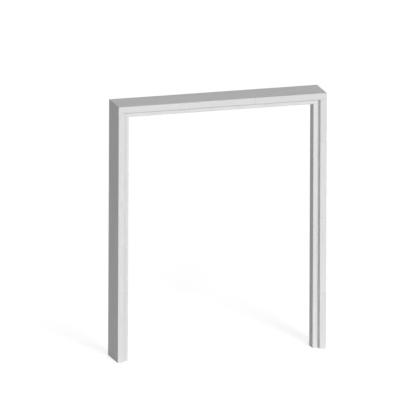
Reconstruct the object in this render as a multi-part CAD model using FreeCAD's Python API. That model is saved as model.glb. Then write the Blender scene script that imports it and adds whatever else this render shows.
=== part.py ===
import FreeCAD
import Part
import math
import os

# Door frame for a pair of doors, made of six square-edged boards.
# A head board lies across the tops of two jambs, flush with their outer faces, and is screwed down into them.
# Three planted stops line the opening: the head stop runs from jamb to jamb and the two stop legs stand under it.
# The stops are nailed to the boards, and each nail is punched below the surface and covered with filler.
#
# Frame: X runs across the opening, Y through the wall and away from the viewer, Z up.
# The origin is on the floor, at the middle of the frame's width and depth. Sizes are in mm.

# Head and jambs
clear_width = 1609.0  # between the jambs: two 800 leaves and three 3 mm gaps
jamb_height = 2032.0  # floor to the underside of the head
board_depth = 273.0  # through the wall
board_thickness = 52.0
board_arris = 2.0  # rounding of the boards' long edges
end_arris = 1.0  # rounding of the outlines of their cut ends

# Planted stops
leaf_recess = 46.0  # from the frame's front face back to the stops: a 44 leaf and 2 of play
stop_depth = 96.0  # through the wall
stop_thickness = 44.0
stop_arris = 3.0  # rounding of the two edges that show in the opening

# Countersunk wood screws that hold the head down on the jambs
screws_per_jamb = 3
screw_edge_distance = 46.0  # from the board's edge to the outer screws
screw_thread_radius = 3.0
screw_shank_radius = 2.15
screw_head_radius = 6.0
screw_head_rim = 0.4  # straight edge of the head, above its cone
screw_bite = 68.0  # length that goes into the jamb
screw_smooth_length = 50.0  # under the top of the head, without thread
screw_point_length = 8.0
screw_clearance = 0.25  # round the thread, where it passes through the head board

# Six-lobe drive recess in each screw head
drive_depth = 3.0
drive_core_radius = 2.0
drive_lobe_radius = 0.7
drive_lobes = 6

# Lost-head nails that hold the stops
nail_radius = 1.875
nail_head_radius = 2.5
nail_head_height = 2.5
nail_point_length = 5.0
nail_punch_depth = 2.0  # from the stop's face down to the nail's head, filled flush
nail_cover = 19.0  # wood left between the nail's point and the board's far face
nail_end_distance = 60.0  # from the ends of a stop to its first nail
nail_spacing = 300.0  # at most, along the stop
nail_row_spacing = 48.0  # between the two rows, which the nails take by turns

X_AXIS = FreeCAD.Vector(1, 0, 0)
Z_AXIS = FreeCAD.Vector(0, 0, 1)
LEFT = -1
RIGHT = 1
PARALLEL = 0.999  # cosine above which two directions count as one

# Places that several pieces share
inner_face = clear_width / 2
outer_face = inner_face + board_thickness
front_face = -board_depth / 2
stop_front = front_face + leaf_recess
stop_middle = stop_front + stop_depth / 2
stop_leg_height = jamb_height - stop_thickness
frame_height = jamb_height + board_thickness


def squared(low, high):
    """A board with square edges, between its lowest and its highest corner."""
    low = FreeCAD.Vector(*low)
    size = FreeCAD.Vector(*high) - low
    return Part.makeBox(size.x, size.y, size.z, low)


def runs_along(edge, axis):
    """Whether a straight edge lies along an axis."""
    ends = edge.Vertexes[1].Point - edge.Vertexes[0].Point
    return abs(ends.normalize().dot(axis)) > PARALLEL


def ease_long_edges(board, grain, radius, picked=lambda middle: True):
    """Round the edges that run along the grain, or those of them that the test picks by their middle point."""
    edges = [e for e in board.Edges if runs_along(e, grain) and picked(e.CenterOfMass)]
    return board.makeFillet(radius, edges)


def ease_ends(board, grain, radius):
    """Round the outlines of both cut ends, so that a butt joint shows as a fine line."""
    ends = [face for face in board.Faces if abs(face.normalAt(0, 0).dot(grain)) > PARALLEL]
    return board.makeFillet(radius, [edge for end in ends for edge in end.Edges])


def turned(outline):
    """A solid of revolution about Z, from (radius, height) points that start and end on the axis."""
    points = [FreeCAD.Vector(radius, 0, height) for radius, height in outline]
    face = Part.Face(Part.makePolygon(points + points[:1]))
    return face.revolve(FreeCAD.Vector(0, 0, 0), Z_AXIS, 360)


def driven(fastener, point, direction):
    """Put a fastener, drawn pointing down from the origin, at a point on a face and drive it along a direction."""
    placed = fastener.copy()
    turn = FreeCAD.Rotation(FreeCAD.Vector(0, 0, -1), direction)
    placed.Placement = FreeCAD.Placement(point, turn)
    return placed


def without(board, fasteners):
    """The board with the exact room that its fasteners take."""
    return board.cut(fasteners) if fasteners else board


# Screws

def screw_length():
    return board_thickness + screw_bite


def screw_blank():
    """Screw without its drive recess: head, smooth shank, the thread's outer form and a point."""
    cone_end = -screw_head_rim - (screw_head_radius - screw_shank_radius)
    thread_start = -screw_smooth_length
    thread_full = thread_start - (screw_thread_radius - screw_shank_radius)
    return turned([
        (0, 0),
        (screw_head_radius, 0),
        (screw_head_radius, -screw_head_rim),
        (screw_shank_radius, cone_end),
        (screw_shank_radius, thread_start),
        (screw_thread_radius, thread_full),
        (screw_thread_radius, screw_point_length - screw_length()),
        (0, -screw_length()),
    ])


def drive_recess():
    """Six-lobe recess, cut down from the top of the screw head."""
    downward = FreeCAD.Vector(0, 0, -1)
    recess = Part.makeCylinder(drive_core_radius, drive_depth, FreeCAD.Vector(0, 0, 0), downward)
    for lobe in range(drive_lobes):
        angle = 2 * math.pi * lobe / drive_lobes
        centre = FreeCAD.Vector(drive_core_radius * math.cos(angle), drive_core_radius * math.sin(angle), 0)
        recess = recess.fuse(Part.makeCylinder(drive_lobe_radius, drive_depth, centre, downward))
    return recess.removeSplitter()


def countersunk_bore():
    """Room for a screw in the head board: a countersink that seats its head, over a clearance hole."""
    bore_radius = screw_thread_radius + screw_clearance
    cone_end = -screw_head_rim - (screw_head_radius - bore_radius)
    return turned([
        (0, 0),
        (screw_head_radius, 0),
        (screw_head_radius, -screw_head_rim),
        (bore_radius, cone_end),
        (bore_radius, -board_thickness),
        (0, -board_thickness),
    ])


def at_screws(side, pattern):
    """Copies of a pattern at the screws of one jamb, spread evenly over the depth of the head."""
    reach = board_depth / 2 - screw_edge_distance
    step = 2 * reach / (screws_per_jamb - 1)
    middle = side * (inner_face + outer_face) / 2
    downward = FreeCAD.Vector(0, 0, -1)
    places = [FreeCAD.Vector(middle, -reach + step * n, frame_height) for n in range(screws_per_jamb)]
    return [driven(pattern, place, downward) for place in places]


def head_screws(side):
    return at_screws(side, screw_blank().cut(drive_recess()))


# Nails and the filler over them

def nail_length():
    return stop_thickness - nail_punch_depth + board_thickness - nail_cover


def nail():
    """Lost-head nail, from its head under the filler down to its point."""
    top = -nail_punch_depth
    point = top - nail_length()
    return turned([
        (0, top),
        (nail_head_radius, top),
        (nail_radius, top - nail_head_height),
        (nail_radius, point + nail_point_length),
        (0, point),
    ])


def filler():
    """Filler over a nail, flush with the face of the stop."""
    downward = FreeCAD.Vector(0, 0, -1)
    return Part.makeCylinder(nail_head_radius, nail_punch_depth, FreeCAD.Vector(0, 0, 0), downward)


def nail_rows(length):
    """(distance along the stop, shift from its centre line) of each nail, in two staggered rows."""
    run = length - 2 * nail_end_distance
    gaps = math.ceil(run / nail_spacing)
    shift = nail_row_spacing / 2
    return [
        (nail_end_distance + run * n / gaps, shift if n % 2 else -shift)
        for n in range(gaps + 1)
    ]


def at_leg_nails(side, pattern):
    """Copies of a pattern at the nails of one stop leg, driven outwards into the jamb."""
    face = side * (inner_face - stop_thickness)
    return [
        driven(pattern, FreeCAD.Vector(face, stop_middle + shift, height), FreeCAD.Vector(side, 0, 0))
        for height, shift in nail_rows(stop_leg_height)
    ]


def at_head_nails(pattern):
    """Copies of a pattern at the nails of the head stop, driven upwards into the head."""
    return [
        driven(pattern, FreeCAD.Vector(along - inner_face, stop_middle + shift, stop_leg_height), Z_AXIS)
        for along, shift in nail_rows(clear_width)
    ]


def at_all_nails(pattern):
    return at_leg_nails(LEFT, pattern) + at_leg_nails(RIGHT, pattern) + at_head_nails(pattern)


# Boards

def head():
    """Head board, lying over both jambs."""
    board = squared(
        (-outer_face, front_face, jamb_height),
        (outer_face, front_face + board_depth, frame_height),
    )
    board = ease_long_edges(board, X_AXIS, board_arris)
    board = ease_ends(board, X_AXIS, end_arris)
    bores = at_screws(LEFT, countersunk_bore()) + at_screws(RIGHT, countersunk_bore())
    return without(board, bores + at_head_nails(nail()))


def jamb(side):
    """Jamb on one side, from the floor to the head."""
    near, far = sorted((side * inner_face, side * outer_face))
    board = squared(
        (near, front_face, 0),
        (far, front_face + board_depth, jamb_height),
    )
    board = ease_long_edges(board, Z_AXIS, board_arris)
    board = ease_ends(board, Z_AXIS, end_arris)
    return without(board, at_screws(side, screw_blank()) + at_leg_nails(side, nail()))


def head_stop():
    """Stop under the head, from jamb to jamb. Its two lower edges show and are rounded."""
    board = squared(
        (-inner_face, stop_front, stop_leg_height),
        (inner_face, stop_front + stop_depth, jamb_height),
    )
    board = ease_long_edges(board, X_AXIS, stop_arris, lambda middle: middle.z < stop_leg_height + stop_arris)
    return without(board, at_head_nails(nail()) + at_head_nails(filler()))


def stop_leg(side):
    """Stop on a jamb, from the floor to the head stop. Its two edges in the opening are rounded."""
    near, far = sorted((side * (inner_face - stop_thickness), side * inner_face))
    board = squared(
        (near, stop_front, 0),
        (far, stop_front + stop_depth, stop_leg_height),
    )
    board = ease_long_edges(board, Z_AXIS, stop_arris, lambda middle: abs(middle.x) < inner_face - stop_arris)
    return without(board, at_leg_nails(side, nail()) + at_leg_nails(side, filler()))


def main():
    os.makedirs("parts", exist_ok=True)
    pieces = {
        "head": head(),
        "left_jamb": jamb(LEFT),
        "right_jamb": jamb(RIGHT),
        "head_stop": head_stop(),
        "left_stop": stop_leg(LEFT),
        "right_stop": stop_leg(RIGHT),
        "left_head_screws": Part.makeCompound(head_screws(LEFT)),
        "right_head_screws": Part.makeCompound(head_screws(RIGHT)),
        "stop_nails": Part.makeCompound(at_all_nails(nail())),
        "nail_filler": Part.makeCompound(at_all_nails(filler())),
    }
    for name, piece in pieces.items():
        piece.exportStep(f"parts/{name}.step")


main()
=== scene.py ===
"""Looks of a primed softwood door frame: boards, screws, nails and filler, in a white studio."""

import math
import random

import bmesh
import bpy
from bpy.props import FloatProperty, FloatVectorProperty, IntProperty, PointerProperty
from mathutils import Matrix, Vector


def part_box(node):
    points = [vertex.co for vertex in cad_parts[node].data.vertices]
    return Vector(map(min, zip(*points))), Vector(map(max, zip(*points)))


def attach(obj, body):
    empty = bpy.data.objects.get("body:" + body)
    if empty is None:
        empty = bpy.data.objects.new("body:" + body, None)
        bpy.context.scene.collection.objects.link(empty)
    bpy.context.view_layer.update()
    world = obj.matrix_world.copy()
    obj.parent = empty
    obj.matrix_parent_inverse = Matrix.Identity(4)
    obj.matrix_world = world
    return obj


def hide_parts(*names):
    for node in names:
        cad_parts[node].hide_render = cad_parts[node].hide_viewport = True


bl_info = {
    "name": "Primed door frame",
    "version": (1, 0, 0),
    "blender": (4, 5, 0),
    "location": "View3D > Sidebar > Door frame",
    "description": "Dresses the boards and fasteners of a door frame and sets up a white studio around it",
    "category": "Object",
}

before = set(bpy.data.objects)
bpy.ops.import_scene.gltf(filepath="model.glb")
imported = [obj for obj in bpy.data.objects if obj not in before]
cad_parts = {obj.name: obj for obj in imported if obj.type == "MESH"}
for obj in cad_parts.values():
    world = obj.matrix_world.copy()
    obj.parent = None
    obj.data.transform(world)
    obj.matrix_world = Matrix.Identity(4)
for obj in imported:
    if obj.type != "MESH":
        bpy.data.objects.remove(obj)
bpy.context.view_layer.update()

MM = 0.001
X_AXIS = Vector((1, 0, 0))
Z_AXIS = Vector((0, 0, 1))
JAMBS = ("left_jamb", "right_jamb")
STOPS = ("head_stop", "left_stop", "right_stop")
UPRIGHTS = (*JAMBS, "left_stop", "right_stop")
# How far into its timbers each board begins, so that the joints keep clear of the corners
BOARD_STARTS = {
    "head": 610 * MM,
    "left_jamb": 555 * MM,
    "right_jamb": 430 * MM,
    "head_stop": 520 * MM,
    "left_stop": 330 * MM,
    "right_stop": 500 * MM,
}
TOUCHING = 0.001 * MM  # verts nearer to each other than this are one
NOISE_SWING = {"From Min": 0.3, "From Max": 0.7}  # where nearly all values of a noise lie


def linear(hex_colour):
    """Linear red, green and blue of an sRGB colour written as six hex digits."""
    shares = [int(hex_colour[i : i + 2], 16) / 255 for i in (0, 2, 4)]
    return [s / 12.92 if s <= 0.04045 else ((s + 0.055) / 1.055) ** 2.4 for s in shares]


class PrimedTimber(bpy.types.PropertyGroup):
    """Sizes and colours of the primed softwood."""

    primer: FloatVectorProperty(
        name="Primer", description="Colour of the sprayed primer",
        subtype="COLOR", min=0, max=1, default=linear("DFDFDF"),
    )
    late_growth: FloatVectorProperty(
        name="Late growth",
        description="Colour of the primer over the hard late part of a growth ring, where it lies thinnest",
        subtype="COLOR", min=0, max=1, default=linear("D2D2D0"),
    )
    glue_line: FloatVectorProperty(
        name="Glue line", description="Colour at the glued seams between the timbers of a board",
        subtype="COLOR", min=0, max=1, default=linear("BDBBB6"),
    )
    strips: IntProperty(
        name="Strips",
        description="Strips glued edge to edge in the head and in each jamb, two half ones counted as one",
        min=1, default=4,
    )
    timber_length: FloatProperty(
        name="Timber length", description="Length of the timbers that are finger-jointed end to end",
        unit="LENGTH", default=620 * MM,
    )
    finger_length: FloatProperty(
        name="Finger length", description="Length of the fingers in a finger joint",
        unit="LENGTH", default=10 * MM,
    )
    finger_pitch: FloatProperty(
        name="Finger pitch", description="Distance from finger to finger",
        unit="LENGTH", default=3.8 * MM,
    )
    ring_width: FloatProperty(
        name="Ring width", description="Distance from one growth ring to the next",
        unit="LENGTH", default=5.5 * MM,
    )


class Fasteners(bpy.types.PropertyGroup):
    """Sizes and colours of the screws, nails and filler."""

    zinc: FloatVectorProperty(
        name="Zinc", description="Colour of the zinc plating on the screws",
        subtype="COLOR", min=0, max=1, default=linear("AEB0B3"),
    )
    wire: FloatVectorProperty(
        name="Wire", description="Colour of the nails' bright steel wire",
        subtype="COLOR", min=0, max=1, default=linear("B4B3B0"),
    )
    filler: FloatVectorProperty(
        name="Filler", description="Colour of the sanded filler under its touch of primer",
        subtype="COLOR", min=0, max=1, default=linear("DAD8D2"),
    )
    thread_pitch: FloatProperty(
        name="Thread pitch", description="Rise of the screw thread in one turn",
        unit="LENGTH", default=2.6 * MM,
    )
    thread_core: FloatProperty(
        name="Thread core", description="Radius at the bottom of the screw thread",
        unit="LENGTH", default=1.9 * MM,
    )
    skim_radius: FloatProperty(
        name="Skim radius", description="How far the filler is knifed out round a nail",
        unit="LENGTH", default=7 * MM,
    )


class Studio(bpy.types.PropertyGroup):
    """Camera, light and floor."""

    azimuth: FloatProperty(
        name="Azimuth", description="Camera's turn round the frame, from straight on",
        subtype="ANGLE", default=math.radians(-16.57),
    )
    elevation: FloatProperty(
        name="Elevation", description="Camera's angle above the horizon",
        subtype="ANGLE", default=math.radians(14.42),
    )
    roll: FloatProperty(
        name="Roll", description="Camera's lean to one side",
        subtype="ANGLE", default=math.radians(0.235),
    )
    key: FloatProperty(
        name="Key light", description="Strength of the sun in front of the frame", min=0, default=2.05
    )
    side: FloatProperty(
        name="Side light", description="Strength of the sun in front of the frame and to the left",
        min=0, default=0.52,
    )
    back: FloatProperty(
        name="Back light", description="Strength of the sun behind the frame", min=0, default=2.2
    )
    room: FloatProperty(
        name="Room light", description="Strength of the light from all round", min=0, default=0.15
    )
    floor: FloatVectorProperty(
        name="Floor", description="Colour of the floor",
        subtype="COLOR", min=0, max=1, default=linear("E6E6E6"),
    )


# Materials

def new_material(name):
    """An empty node material and its tree."""
    material = bpy.data.materials.new(name)
    material.use_nodes = True
    material.node_tree.nodes.clear()
    return material, material.node_tree


def add(tree, kind, inputs=None, **settings):
    """Adds a node with its settings. An input is a value, an output, or a node for its first output."""
    node = tree.nodes.new(kind)
    for name, value in settings.items():
        setattr(node, name, value)
    for socket, value in (inputs or {}).items():
        if isinstance(value, bpy.types.Node):
            value = value.outputs[0]
        if isinstance(value, bpy.types.NodeSocket):
            tree.links.new(value, node.inputs[socket])
        else:
            node.inputs[socket].default_value = value
    return node


def rgba(colour):
    return (*colour, 1)


def place_on_board(tree, node_name):
    """Place on a board in metres: x along the grain, y from its front edge to its back, and z from the
    middle of its thickness."""
    low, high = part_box(node_name)
    middle = (low + high) / 2
    upright = node_name in UPRIGHTS
    place = add(tree, "ShaderNodeTexCoord")
    return add(tree, "ShaderNodeMapping", {
        "Vector": place.outputs["Object"],
        "Rotation": (0, math.radians(90) if upright else 0, 0),
        "Location": (BOARD_STARTS[node_name], -low.y, middle.x if upright else -middle.z),
    })


def glued_timbers(tree, place, strip, seed):
    """Chance values that change from timber to timber, and the seams between them, from 0 to 1. A board is
    glued up from strips side by side, and each strip from timbers that are finger-jointed end to end."""
    looks = bpy.context.scene.primed_timber
    glue_width = 0.35 * MM
    joint_width = 1.3 * MM
    edge_strip = 0.5  # share of a strip at each edge of the board, so that no glue line lies on the edge
    split = add(tree, "ShaderNodeSeparateXYZ", {0: place})
    along, across, _ = split.outputs

    strip_share = add(tree, "ShaderNodeMath", {
        0: across, 1: 1 / strip, 2: edge_strip}, operation="MULTIPLY_ADD")
    strip_number = add(tree, "ShaderNodeMath", {0: strip_share}, operation="FLOOR")
    strip_chance = add(tree, "ShaderNodeTexWhiteNoise", {"W": strip_number}, noise_dimensions="1D")

    finger = add(tree, "ShaderNodeMath", {0: across, 1: looks.finger_pitch / 2}, operation="PINGPONG")
    toothed = add(tree, "ShaderNodeMath", {
        0: finger, 1: 2 * looks.finger_length / looks.finger_pitch, 2: along}, operation="MULTIPLY_ADD")
    timber_share = add(tree, "ShaderNodeMath", {
        0: toothed, 1: 1 / looks.timber_length, 2: strip_chance}, operation="MULTIPLY_ADD")
    timber_number = add(tree, "ShaderNodeMath", {0: timber_share}, operation="FLOOR")
    timber_key = add(tree, "ShaderNodeCombineXYZ", {0: strip_number, 1: timber_number, 2: seed})
    timber = add(tree, "ShaderNodeTexWhiteNoise", {"Vector": timber_key}, noise_dimensions="3D")

    # Distances to the nearest seam, in strips and in timbers
    to_glue = add(tree, "ShaderNodeMath", {0: strip_share, 1: 0.5}, operation="PINGPONG")
    glue = add(tree, "ShaderNodeMapRange", {
        "Value": to_glue, "From Max": glue_width / strip, "To Min": 1.0, "To Max": 0.0,
    }, interpolation_type="SMOOTHSTEP")
    to_joint = add(tree, "ShaderNodeMath", {0: timber_share, 1: 0.5}, operation="PINGPONG")
    joint = add(tree, "ShaderNodeMapRange", {
        "Value": to_joint, "From Max": joint_width / looks.timber_length, "To Min": 1.0, "To Max": 0.0,
    }, interpolation_type="SMOOTHSTEP")
    seam = add(tree, "ShaderNodeMath", {0: glue, 1: joint}, operation="MAXIMUM")
    return timber, seam


def growth_rings(tree, place, drawn_out, timber):
    """Late growth, from 0 to 1: rings round a heart beside each timber, wavering along the trunk."""
    looks = bpy.context.scene.primed_timber
    lowest_heart = (0, 20 * MM, -130 * MM)
    heart_spread = (0, 240 * MM, 100 * MM)
    waver_width = 45 * MM
    waver_reach = 28 * MM
    # (share of the ring, lateness): slow pale early growth, then a dark late band that ends sharply
    growth = ((0.45, 0.06), (0.8, 0.9), (0.9, 1.0))

    heart = add(tree, "ShaderNodeVectorMath", {
        0: timber.outputs["Color"], 1: heart_spread, 2: lowest_heart}, operation="MULTIPLY_ADD")
    from_heart = add(tree, "ShaderNodeVectorMath", {0: place, 1: heart}, operation="SUBTRACT")
    across = add(tree, "ShaderNodeVectorMath", {0: from_heart, 1: (0, 1, 1)}, operation="MULTIPLY")
    radius = add(tree, "ShaderNodeVectorMath", {0: across}, operation="LENGTH")
    waver = add(tree, "ShaderNodeTexNoise", {
        "Vector": drawn_out, "Scale": 1 / waver_width, "Detail": 2.0, "Roughness": 0.45})
    wavering = add(tree, "ShaderNodeMath", {
        0: waver, 1: waver_reach, 2: radius.outputs["Value"]}, operation="MULTIPLY_ADD")
    ring = add(tree, "ShaderNodeMath", {0: wavering, 1: 1 / looks.ring_width}, operation="MULTIPLY")
    ring_share = add(tree, "ShaderNodeMath", {0: ring}, operation="FRACT")
    late = add(tree, "ShaderNodeValToRGB", {0: ring_share})
    bands = late.color_ramp.elements
    for end in bands:
        end.color = (0, 0, 0, 1)
    for position, lateness in growth:
        bands.new(position).color = (lateness, lateness, lateness, 1)
    return late


def primer_colour(tree, late, fibre, coat, seam, timber):
    """Primer, a trace darker over late growth, fibres and seams, each timber with its own slight tone."""
    looks = bpy.context.scene.primed_timber
    ring_strength = 0.55
    fibre_strength = 0.5
    plain_fibre = 0.44  # the fibres' noise at which they leave the tone as it is
    coat_tones = {"To Min": 0.975, "To Max": 1.02}
    timber_tones = {"To Min": 0.985, "To Max": 1.01}
    ring_tone = add(tree, "ShaderNodeMath", {0: late, 1: ring_strength}, operation="MULTIPLY")
    fibre_tone = add(tree, "ShaderNodeMath", {
        0: fibre, 1: fibre_strength, 2: -fibre_strength * plain_fibre}, operation="MULTIPLY_ADD")
    grain_tone = add(tree, "ShaderNodeMath", {0: ring_tone, 1: fibre_tone}, operation="ADD", use_clamp=True)
    grained = add(tree, "ShaderNodeMix", {
        0: grain_tone, 6: rgba(looks.primer), 7: rgba(looks.late_growth)}, data_type="RGBA")
    seamed = add(tree, "ShaderNodeMix", {
        0: seam, 6: grained.outputs[2], 7: rgba(looks.glue_line)}, data_type="RGBA")
    coat_tone = add(tree, "ShaderNodeMapRange", {"Value": coat, **NOISE_SWING, **coat_tones})
    timber_tone = add(tree, "ShaderNodeMapRange", {"Value": timber, **timber_tones})
    tone = add(tree, "ShaderNodeMath", {0: coat_tone, 1: timber_tone}, operation="MULTIPLY")
    return add(tree, "ShaderNodeVectorMath", {0: seamed.outputs[2], 3: tone}, operation="SCALE")


def primer_relief(tree, late, fibre, peel, seam):
    """Relief of the primed face: ridges over late growth, raised fibres, orange peel and sunk seams."""
    ridge_height = 0.05 * MM
    fibre_height = 0.06 * MM
    peel_height = 0.05 * MM
    seam_depth = 0.12 * MM
    ridges = add(tree, "ShaderNodeMath", {0: late, 1: ridge_height}, operation="MULTIPLY")
    fibred = add(tree, "ShaderNodeMath", {0: fibre, 1: fibre_height, 2: ridges}, operation="MULTIPLY_ADD")
    peeled = add(tree, "ShaderNodeMath", {0: peel, 1: peel_height, 2: fibred}, operation="MULTIPLY_ADD")
    relief = add(tree, "ShaderNodeMath", {0: seam, 1: -seam_depth, 2: peeled}, operation="MULTIPLY_ADD")
    return add(tree, "ShaderNodeBump", {"Strength": 1.0, "Distance": 1.0, "Height": relief})


def primed_softwood(node_name):
    """Planed softwood under a sprayed white primer: even and matt, with the rings, finger joints and glue
    lines of the timber showing through as slight ridges and as a trace of tone."""
    looks = bpy.context.scene.primed_timber
    low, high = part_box(node_name)
    strips = 1 if node_name in STOPS else looks.strips
    seed = list(BOARD_STARTS).index(node_name)
    timber_shift = (3, 3, 3)  # metres from the wood of one timber to that of any other
    fibre_width = 0.9 * MM
    peel_width = 2.4 * MM
    coat_width = 140 * MM
    # How many times longer than wide the rings' waver and the fibres are
    waver_ratio = 8
    fibre_ratio = 50
    dullness = {"To Min": 0.58, "To Max": 0.7}
    material, tree = new_material(f"Primed softwood, {node_name}")

    place = place_on_board(tree, node_name)
    timber, seam = glued_timbers(tree, place, (high.y - low.y) / strips, seed)
    timber_place = add(tree, "ShaderNodeVectorMath", {
        0: timber.outputs["Color"], 1: timber_shift, 2: place}, operation="MULTIPLY_ADD")
    drawn_out = add(tree, "ShaderNodeVectorMath", {
        0: timber_place, 1: (1 / waver_ratio, 1, 1)}, operation="MULTIPLY")
    late = growth_rings(tree, place, drawn_out, timber)

    # Fibres, the fine orange peel of the spray, and the uneven thickness of the coat
    fibre_place = add(tree, "ShaderNodeVectorMath", {
        0: timber_place, 1: (1 / fibre_ratio, 1, 1)}, operation="MULTIPLY")
    fibre = add(tree, "ShaderNodeTexNoise", {
        "Vector": fibre_place, "Scale": 1 / fibre_width, "Detail": 3.0, "Roughness": 0.6})
    peel = add(tree, "ShaderNodeTexNoise", {
        "Vector": place, "Scale": 1 / peel_width, "Detail": 1.0, "Roughness": 0.4})
    coat = add(tree, "ShaderNodeTexNoise", {
        "Vector": drawn_out, "Scale": 1 / coat_width, "Detail": 3.0, "Roughness": 0.55})

    gloss = add(tree, "ShaderNodeMapRange", {"Value": fibre, **NOISE_SWING, **dullness})
    surface = add(tree, "ShaderNodeBsdfPrincipled", {
        "Base Color": primer_colour(tree, late, fibre, coat, seam, timber),
        "Normal": primer_relief(tree, late, fibre, peel, seam),
        "Roughness": gloss,
        "IOR": 1.45,
        "Specular IOR Level": 0.35,
    })
    add(tree, "ShaderNodeOutputMaterial", {"Surface": surface})
    return material


def sanded_filler():
    """Two-part wood filler, knifed on, sanded flush and touched with primer: smoother than the board and a
    trace warmer."""
    looks = bpy.context.scene.fasteners
    mottle_width = 2.5 * MM
    scratch_width = 0.35 * MM
    scratch_depth = 0.03 * MM
    mottle_tones = {"To Min": 0.95, "To Max": 1.03}
    material, tree = new_material("Sanded wood filler")
    place = add(tree, "ShaderNodeTexCoord")
    mottle = add(tree, "ShaderNodeTexNoise", {
        "Vector": place.outputs["Object"], "Scale": 1 / mottle_width, "Detail": 4.0, "Roughness": 0.6})
    tone = add(tree, "ShaderNodeMapRange", {"Value": mottle, **NOISE_SWING, **mottle_tones})
    colour = add(tree, "ShaderNodeVectorMath", {0: looks.filler, 3: tone}, operation="SCALE")
    scratches = add(tree, "ShaderNodeTexNoise", {
        "Vector": place.outputs["Object"], "Scale": 1 / scratch_width, "Detail": 2.0})
    relief = add(tree, "ShaderNodeMath", {0: scratches, 1: scratch_depth}, operation="MULTIPLY")
    bump = add(tree, "ShaderNodeBump", {"Strength": 1.0, "Distance": 1.0, "Height": relief})
    surface = add(tree, "ShaderNodeBsdfPrincipled", {
        "Base Color": colour, "Roughness": 0.72, "Normal": bump, "IOR": 1.5, "Specular IOR Level": 0.3})
    add(tree, "ShaderNodeOutputMaterial", {"Surface": surface})
    return material


def steel(name, colour, roughness, mark_width):
    """Cold-formed steel wire, plain or plated: bright, with the fine marks that its dies leave."""
    mark_depth = 0.012 * MM
    mark_tones = {"To Min": 0.9, "To Max": 1.05}
    dullness = {"To Min": roughness - 0.07, "To Max": roughness + 0.1}
    material, tree = new_material(name)
    place = add(tree, "ShaderNodeTexCoord")
    marks = add(tree, "ShaderNodeTexNoise", {
        "Vector": place.outputs["Object"], "Scale": 1 / mark_width, "Detail": 3.0, "Roughness": 0.65})
    gloss = add(tree, "ShaderNodeMapRange", {"Value": marks, **NOISE_SWING, **dullness})
    tone = add(tree, "ShaderNodeMapRange", {"Value": marks, **NOISE_SWING, **mark_tones})
    tinted = add(tree, "ShaderNodeVectorMath", {0: colour, 3: tone}, operation="SCALE")
    relief = add(tree, "ShaderNodeMath", {0: marks, 1: mark_depth}, operation="MULTIPLY")
    bump = add(tree, "ShaderNodeBump", {"Strength": 1.0, "Distance": 1.0, "Height": relief})
    surface = add(tree, "ShaderNodeBsdfPrincipled", {
        "Base Color": tinted, "Roughness": gloss, "Normal": bump, "Metallic": 1.0})
    add(tree, "ShaderNodeOutputMaterial", {"Surface": surface})
    return material


def white_to_the_eye(tree):
    """1 for rays from the camera, from gloss and through glass, which see the studio as white, and 0 for
    the rays that light the frame."""
    ray = add(tree, "ShaderNodeLightPath")
    seen = add(tree, "ShaderNodeMath", {
        0: ray.outputs["Is Camera Ray"], 1: ray.outputs["Is Glossy Ray"]}, operation="MAXIMUM")
    return add(tree, "ShaderNodeMath", {
        0: seen, 1: ray.outputs["Is Transmission Ray"]}, operation="MAXIMUM")


# Places of the fasteners, read from the frame

def solids_of(node_name):
    """Lowest and highest corner of each separate solid in a node of the frame."""
    bm = bmesh.new()
    bm.from_mesh(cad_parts[node_name].data)
    bmesh.ops.remove_doubles(bm, verts=bm.verts, dist=TOUCHING)
    left = set(bm.verts)
    boxes = []
    while left:
        island = [left.pop()]
        for vert in island:
            fresh = {edge.other_vert(vert) for edge in vert.link_edges} & left
            left -= fresh
            island += fresh
        low = Vector([min(vert.co[i] for vert in island) for i in range(3)])
        high = Vector([max(vert.co[i] for vert in island) for i in range(3)])
        boxes.append((low, high))
    bm.free()
    return sorted(boxes, key=lambda box: [round(c, 4) for c in box[0]])


def driven(point, direction):
    """Place of a fastener that is drawn from the origin downwards, driven at a point along a direction."""
    turn = Vector(direction).to_track_quat("-Z", "Y").to_matrix().to_4x4()
    return Matrix.Translation(point) @ turn


def nail_places(node_name):
    """Place, length and radius of each solid in the stops: up into the head, or out into a jamb."""
    head_stop_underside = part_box("head_stop")[0].z
    found = []
    for low, high in solids_of(node_name):
        middle = (low + high) / 2
        size = high - low
        if middle.z > head_stop_underside:
            place = driven((middle.x, middle.y, low.z), Z_AXIS)
            found.append((place, size.z, size.x / 2))
        else:
            face = min(low.x, high.x, key=abs)
            place = driven((face, middle.y, middle.z), X_AXIS * math.copysign(1, face))
            found.append((place, size.x, size.z / 2))
    return found


# Mesh work

def spin_round(bm, outline, steps):
    """Turns (radius, height) points round Z. The form is closed where they start and end on the axis."""
    verts = [bm.verts.new((radius, 0, height)) for radius, height in outline]
    edges = [bm.edges.new(pair) for pair in zip(verts, verts[1:])]
    bmesh.ops.spin(
        bm, geom=verts + edges, axis=Z_AXIS, cent=(0, 0, 0), angle=math.tau, steps=steps, use_merge=True
    )
    bmesh.ops.remove_doubles(bm, verts=bm.verts, dist=TOUCHING)


def extruded(bm, ring):
    """Extrudes a ring of edges and returns the new verts and the new ring."""
    grown = bmesh.ops.extrude_edge_only(bm, edges=ring)["geom"]
    verts = [part for part in grown if isinstance(part, bmesh.types.BMVert)]
    edges = [part for part in grown if isinstance(part, bmesh.types.BMEdge) and part.is_boundary]
    return verts, edges


def close_to_point(bm, ring, point):
    """Closes a ring of edges with a cone."""
    verts, _ = extruded(bm, ring)
    bmesh.ops.pointmerge(bm, verts=verts, merge_co=point)


def gathered(patterns, places):
    """One mesh with each pattern at its place."""
    bm = bmesh.new()
    for pattern, place in zip(patterns, places):
        mesh = bpy.data.meshes.new("pattern")
        pattern.to_mesh(mesh)
        first = len(bm.verts)
        bm.from_mesh(mesh)
        bpy.data.meshes.remove(mesh)
        bm.verts.ensure_lookup_table()
        bmesh.ops.transform(bm, matrix=place, verts=bm.verts[first:])
    return bm


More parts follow.
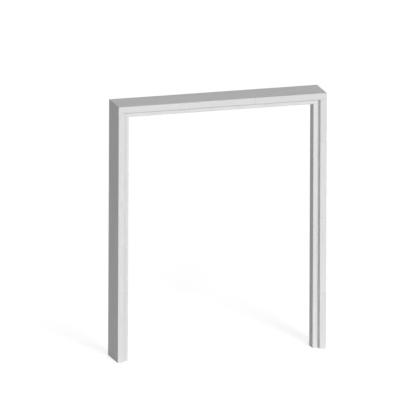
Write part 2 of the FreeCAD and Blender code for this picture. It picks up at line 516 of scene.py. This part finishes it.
def finish_piece(bm, name, material, node_name):
    """Makes an object of the mesh, smooth but for its sharp edges, that takes the place of a node."""
    sharp = math.radians(35)
    bmesh.ops.recalc_face_normals(bm, faces=bm.faces)
    mesh = bpy.data.meshes.new(name)
    bm.to_mesh(mesh)
    bm.free()
    mesh.shade_smooth()
    mesh.set_sharp_from_angle(angle=sharp)
    mesh.materials.append(material)
    piece = bpy.data.objects.new(name, mesh)
    bpy.context.scene.collection.objects.link(piece)
    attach(piece, "root")
    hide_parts(node_name)


def dress_boards(names):
    """Gives boards of the frame their primed timber."""
    for name in names:
        finish = primed_softwood(name)
        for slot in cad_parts[name].material_slots:
            slot.link = "OBJECT"
            slot.material = finish


# Screws

def screw_pattern(length, head_radius):
    """A countersunk wood screw along -Z, its head's top at the origin: a six-lobe recess, a plain shank,
    and a thread that runs in below the shank and out onto the point."""
    steps = 48
    shank_radius = 2.15 * MM
    smooth_length = 50 * MM
    rim = 0.4 * MM
    ease = 0.15 * MM
    cone_end = -rim - (head_radius - shank_radius)
    bm = bmesh.new()
    spin_round(bm, [
        (head_radius - ease, 0),
        (head_radius, -ease),
        (head_radius, -rim),
        (shank_radius, cone_end),
        (shank_radius, -smooth_length),
    ], steps)
    open_edges = [edge for edge in bm.edges if edge.is_boundary]
    sink_recess(bm, [edge for edge in open_edges if edge.verts[0].co.z > cone_end])
    shank_end = [edge for edge in open_edges if edge.verts[0].co.z < cone_end]
    cut_thread(bm, shank_end, -smooth_length, -length, steps)
    return bm


def sink_recess(bm, rim):
    """Sinks a six-lobe recess into the top of a screw head."""
    lobes = 6
    middle_radius = 2.35 * MM
    lobe_swing = 0.35 * MM
    ease = 0.12 * MM
    depth = 3 * MM
    dimple = 0.6 * MM
    mouth, ring = extruded(bm, rim)
    for vert in mouth:
        turn = math.atan2(vert.co.y, vert.co.x)
        radius = middle_radius + lobe_swing * math.cos(lobes * turn) + ease
        vert.co.xy = radius * Vector((math.cos(turn), math.sin(turn)))
    eased, ring = extruded(bm, ring)
    for vert in eased:
        vert.co.xy *= 1 - ease / vert.co.xy.length
        vert.co.z -= ease
    floor, ring = extruded(bm, ring)
    for vert in floor:
        vert.co.z = -depth
    close_to_point(bm, ring, (0, 0, -depth - dimple))


def cut_thread(bm, shank_end, top, tip, steps):
    """A thread from the shank's end down to the tip: one tooth, spun down its helix and joined on."""
    looks = bpy.context.scene.fasteners
    crest_radius = 3 * MM
    core_radius = looks.thread_core
    pitch = looks.thread_pitch
    run_in = 1.5 * pitch
    step_down = 0.85 * MM
    point_length = 8 * MM
    point_share = 0.12  # of the full radius, where the thread ends on the point
    # (0 at the core to 1 at the crest, share of the pitch) of the tooth
    tooth = [(0, 0), (0, 0.34), (1, 0.47), (1, 0.53), (0, 0.66), (0, 1)]

    start = top - step_down
    turns = math.floor((start - tip) / pitch) - 1
    shank = set(bm.verts)
    verts = [
        bm.verts.new((core_radius + height * (crest_radius - core_radius), 0, start - share * pitch))
        for height, share in tooth
    ]
    edges = [bm.edges.new(pair) for pair in zip(verts, verts[1:])]
    bmesh.ops.spin(
        bm, geom=verts + edges, axis=Z_AXIS, cent=(0, 0, 0), dvec=(0, 0, -pitch / steps),
        angle=math.tau * turns, steps=turns * steps,
    )
    bmesh.ops.remove_doubles(bm, verts=[vert for vert in bm.verts if vert not in shank], dist=TOUCHING)
    thread = [vert for vert in bm.verts if vert not in shank]
    end = min(vert.co.z for vert in thread)
    for vert in thread:
        radius = vert.co.xy.length
        grown = min(1, max(0, (start - pitch - vert.co.z) / run_in))
        narrowed = min(1, max(point_share, (vert.co.z - end) / point_length))
        vert.co.xy *= (core_radius + (radius - core_radius) * grown) * narrowed / radius

    open_edges = [edge for edge in bm.edges if edge.is_boundary and edge.verts[0] not in shank]
    halfway = (start + end) / 2
    upper = [edge for edge in open_edges if edge.verts[0].co.z > halfway]
    lower = [edge for edge in open_edges if edge.verts[0].co.z < halfway]
    bmesh.ops.bridge_loops(bm, edges=shank_end + upper)
    close_to_point(bm, lower, (0, 0, tip))


# Nails and filler

def nail_pattern(length, head_radius):
    """A lost-head nail along -Z, its head's top at the origin: a dimple for the punch, a tapered head, grip
    rings under it and a point."""
    steps = 24
    shank_radius = 0.75 * head_radius
    head_height = head_radius
    side_height = 0.4 * head_radius
    dimple_radius = 1.3 * MM
    dimple_depth = 0.5 * MM
    dimple_bend = 0.7  # share of the dimple's radius and depth at which it steepens
    ease = 0.25 * MM
    rings = 6
    first_ring = 4.5 * MM
    ring_spacing = 1.1 * MM
    ring_depth = 0.14 * MM
    ring_width = 0.7 * MM
    ring_slope = 0.21 * MM
    point_length = 5 * MM
    outline = [
        (0, -dimple_depth),
        (dimple_bend * dimple_radius, -dimple_bend * dimple_depth),
        (dimple_radius, 0),
        (head_radius - ease, 0),
        (head_radius, -ease),
        (head_radius, -side_height),
        (shank_radius, -head_height),
    ]
    for ring in range(rings):
        top = -first_ring - ring_spacing * ring
        outline += [
            (shank_radius, top),
            (shank_radius - ring_depth, top - ring_slope),
            (shank_radius - ring_depth, top - ring_width + ring_slope),
            (shank_radius, top - ring_width),
        ]
    outline += [(shank_radius, point_length - length), (0, -length)]
    bm = bmesh.new()
    spin_round(bm, outline, steps)
    return bm


def filler_spot(depth, plug_radius, hand):
    """A plug of filler along -Z, its mouth at the origin, knifed out round the hole into a thin oval."""
    steps = 32
    skim_radius = bpy.context.scene.fasteners.skim_radius
    skim_height = 0.08 * MM
    feather_bend = 0.7  # share of the skim's radius and height from which it thins faster
    rim_height = 0.1 * skim_height
    # How much longer than wide the knife's stroke leaves a spot, as a share
    shortest_reach = 0.15
    longest_reach = 0.5
    waver = 0.06
    bm = bmesh.new()
    spin_round(bm, [
        (0, skim_height),
        (plug_radius, skim_height),
        (feather_bend * skim_radius, feather_bend * skim_height),
        (skim_radius, rim_height),
        (skim_radius, 0),
        (plug_radius, 0),
        (plug_radius, -depth),
        (0, -depth),
    ], steps)
    stroke = hand.uniform(0, math.tau)
    reach = hand.uniform(shortest_reach, longest_reach)
    for vert in bm.verts:
        if vert.co.xy.length > plug_radius + TOUCHING:
            turn = math.atan2(vert.co.y, vert.co.x)
            vert.co.xy *= 1 + reach * math.cos(turn - stroke) ** 2 + waver * math.sin(3 * turn + stroke)
    return bm


# Operators

class DOORFRAME_OT_head_board(bpy.types.Operator):
    """Prime the head board"""

    bl_idname = "door_frame.head_board"
    bl_label = "Head board"

    def execute(self, context):
        dress_boards(["head"])
        return {"FINISHED"}


class DOORFRAME_OT_jambs(bpy.types.Operator):
    """Prime the two jambs"""

    bl_idname = "door_frame.jambs"
    bl_label = "Jambs"

    def execute(self, context):
        dress_boards(JAMBS)
        return {"FINISHED"}


class DOORFRAME_OT_stops(bpy.types.Operator):
    """Prime the head stop and the two stop legs"""

    bl_idname = "door_frame.stops"
    bl_label = "Stops"

    def execute(self, context):
        dress_boards(STOPS)
        return {"FINISHED"}


class DOORFRAME_OT_head_screws(bpy.types.Operator):
    """Make the countersunk screws that hold the head on the jambs"""

    bl_idname = "door_frame.head_screws"
    bl_label = "Head screws"

    def execute(self, context):
        zinc = steel("Zinc-plated steel", context.scene.fasteners.zinc, roughness=0.36, mark_width=1.2 * MM)
        screw = None
        for side in ("left", "right"):
            node_name = f"{side}_head_screws"
            places = []
            for low, high in solids_of(node_name):
                screw = screw or screw_pattern(high.z - low.z, (high.x - low.x) / 2)
                head_top = ((low.x + high.x) / 2, (low.y + high.y) / 2, high.z)
                places.append(driven(head_top, -Z_AXIS))
            screws = gathered([screw] * len(places), places)
            finish_piece(screws, f"{side}_threaded_screws", zinc, node_name)
        return {"FINISHED"}


class DOORFRAME_OT_stop_nails(bpy.types.Operator):
    """Make the lost-head nails that hold the stops"""

    bl_idname = "door_frame.stop_nails"
    bl_label = "Stop nails"

    def execute(self, context):
        wire = steel("Bright steel wire", context.scene.fasteners.wire, roughness=0.34, mark_width=0.8 * MM)
        found = nail_places("stop_nails")
        patterns = [nail_pattern(length, radius) for _, length, radius in found]
        nails = gathered(patterns, [place for place, *_ in found])
        finish_piece(nails, "lost_head_nails", wire, "stop_nails")
        return {"FINISHED"}


class DOORFRAME_OT_nail_filler(bpy.types.Operator):
    """Fill the nail holes and skim the filler out round them"""

    bl_idname = "door_frame.nail_filler"
    bl_label = "Nail filler"

    def execute(self, context):
        hand = random.Random(4)  # seeded, so that each run knifes the same spots
        found = nail_places("nail_filler")
        spots = [filler_spot(depth, radius, hand) for _, depth, radius in found]
        filler = gathered(spots, [place for place, *_ in found])
        finish_piece(filler, "filler_spots", sanded_filler(), "nail_filler")
        return {"FINISHED"}


class DOORFRAME_OT_studio(bpy.types.Operator):
    """Set the floor, the lights, the white world and the camera"""

    bl_idname = "door_frame.studio"
    bl_label = "Studio"

    def execute(self, context):
        looks = context.scene.studio
        self.make_floor(looks.floor)
        self.add_sun("front sun", looks.key, towards=(0.13, -0.95, 0.28), width=math.radians(20))
        # It stands further round than the camera, so that the left stop shows a shadow beside its jamb
        self.add_sun("side sun", looks.side, towards=(-0.45, -0.84, 0.29), width=math.radians(12))
        self.add_sun("back sun", looks.back, towards=(0.62, 0.78, 0.05), width=math.radians(40))
        self.make_world(looks.room)
        self.make_camera(looks)
        context.scene.view_settings.view_transform = "Standard"
        return {"FINISHED"}

    @staticmethod
    def make_floor(colour):
        """A pale floor, seen as white, that keeps the frame's shadow."""
        radius = 40
        lift = 0.67  # glow that makes the lit floor white to the eye
        bm = bmesh.new()
        bmesh.ops.create_circle(bm, cap_ends=True, segments=64, radius=radius)
        mesh = bpy.data.meshes.new("floor")
        bm.to_mesh(mesh)
        bm.free()
        floor = bpy.data.objects.new("floor", mesh)
        bpy.context.scene.collection.objects.link(floor)
        material, tree = new_material("White studio floor")
        matt = add(tree, "ShaderNodeBsdfDiffuse", {"Color": rgba(colour)})
        lifted = add(tree, "ShaderNodeMath", {0: white_to_the_eye(tree), 1: lift}, operation="MULTIPLY")
        glow = add(tree, "ShaderNodeEmission", {"Color": (1, 1, 1, 1), "Strength": lifted})
        both = add(tree, "ShaderNodeAddShader", {0: matt, 1: glow})
        add(tree, "ShaderNodeOutputMaterial", {"Surface": both})
        mesh.materials.append(material)

    @staticmethod
    def add_sun(name, strength, towards, width):
        """A sun that stands in a direction from the frame. The wider it is, the softer its shadows are."""
        light = bpy.data.lights.new(name, "SUN")
        light.energy = strength
        light.angle = width
        sun = bpy.data.objects.new(name, light)
        sun.rotation_mode = "QUATERNION"
        sun.rotation_quaternion = Vector(towards).to_track_quat("Z", "Y")
        bpy.context.scene.collection.objects.link(sun)

    @staticmethod
    def make_world(strength):
        """An even room light that the eye sees as white."""
        world = bpy.data.worlds.new("White studio")
        bpy.context.scene.world = world
        world.use_nodes = True
        tree = world.node_tree
        tree.nodes.clear()
        room = add(tree, "ShaderNodeBackground", {"Color": (1, 1, 1, 1), "Strength": strength})
        white = add(tree, "ShaderNodeBackground", {"Color": (1, 1, 1, 1), "Strength": 1.0})
        mixed = add(tree, "ShaderNodeMixShader", {0: white_to_the_eye(tree), 1: room, 2: white})
        add(tree, "ShaderNodeOutputWorld", {"Surface": mixed})

    @staticmethod
    def make_camera(looks):
        """A parallel view. The left jamb's front lower corner falls on a set pixel of the picture."""
        picture = 416
        metres_a_pixel = 7.893 * MM
        corner_pixel = (117.8, 363.2)
        distance = 9.0
        low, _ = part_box("left_jamb")
        corner = Vector((low.x, low.y, 0))
        round_frame = Matrix.Rotation(looks.azimuth, 3, "Z")
        back = round_frame @ Matrix.Rotation(-looks.elevation, 3, "X") @ Vector((0, -1, 0))
        right = Matrix.Rotation(looks.roll, 3, back) @ round_frame @ X_AXIS
        up = back.cross(right)
        across = (picture / 2 - corner_pixel[0]) * metres_a_pixel
        along = (corner_pixel[1] - picture / 2) * metres_a_pixel
        lens = bpy.data.cameras.new("camera")
        lens.type = "ORTHO"
        lens.ortho_scale = picture * metres_a_pixel
        camera = bpy.data.objects.new("camera", lens)
        turned = Matrix((right, up, back)).transposed().to_4x4()
        spot = corner + right * across + up * along + back * distance
        camera.matrix_world = Matrix.Translation(spot) @ turned
        bpy.context.scene.collection.objects.link(camera)
        bpy.context.scene.camera = camera


class DOORFRAME_PT_sidebar(bpy.types.Panel):
    """Lists the steps that dress the door frame"""

    bl_idname = "DOORFRAME_PT_sidebar"
    bl_label = "Door frame"
    bl_space_type = "VIEW_3D"
    bl_region_type = "UI"
    bl_category = "Door frame"

    def draw(self, context):
        for group in GROUPS:
            looks = getattr(context.scene, group)
            box = self.layout.box()
            for name in looks.__annotations__:
                box.prop(looks, name)
        for operator in OPERATORS:
            self.layout.operator(operator.bl_idname)


GROUPS = {"primed_timber": PrimedTimber, "fasteners": Fasteners, "studio": Studio}
OPERATORS = (
    DOORFRAME_OT_head_board,
    DOORFRAME_OT_jambs,
    DOORFRAME_OT_stops,
    DOORFRAME_OT_head_screws,
    DOORFRAME_OT_stop_nails,
    DOORFRAME_OT_nail_filler,
    DOORFRAME_OT_studio,
)


def register():
    for kind in (*GROUPS.values(), *OPERATORS, DOORFRAME_PT_sidebar):
        bpy.utils.register_class(kind)
    for name, group in GROUPS.items():
        setattr(bpy.types.Scene, name, PointerProperty(type=group))


def unregister():
    for name in GROUPS:
        delattr(bpy.types.Scene, name)
    for kind in (DOORFRAME_PT_sidebar, *reversed(OPERATORS), *reversed(GROUPS.values())):
        bpy.utils.unregister_class(kind)


def main():
    register()
    bpy.ops.door_frame.head_board()
    bpy.ops.door_frame.jambs()
    bpy.ops.door_frame.stops()
    bpy.ops.door_frame.head_screws()
    bpy.ops.door_frame.stop_nails()
    bpy.ops.door_frame.nail_filler()
    bpy.ops.door_frame.studio()


if __name__ == "__main__":
    main()
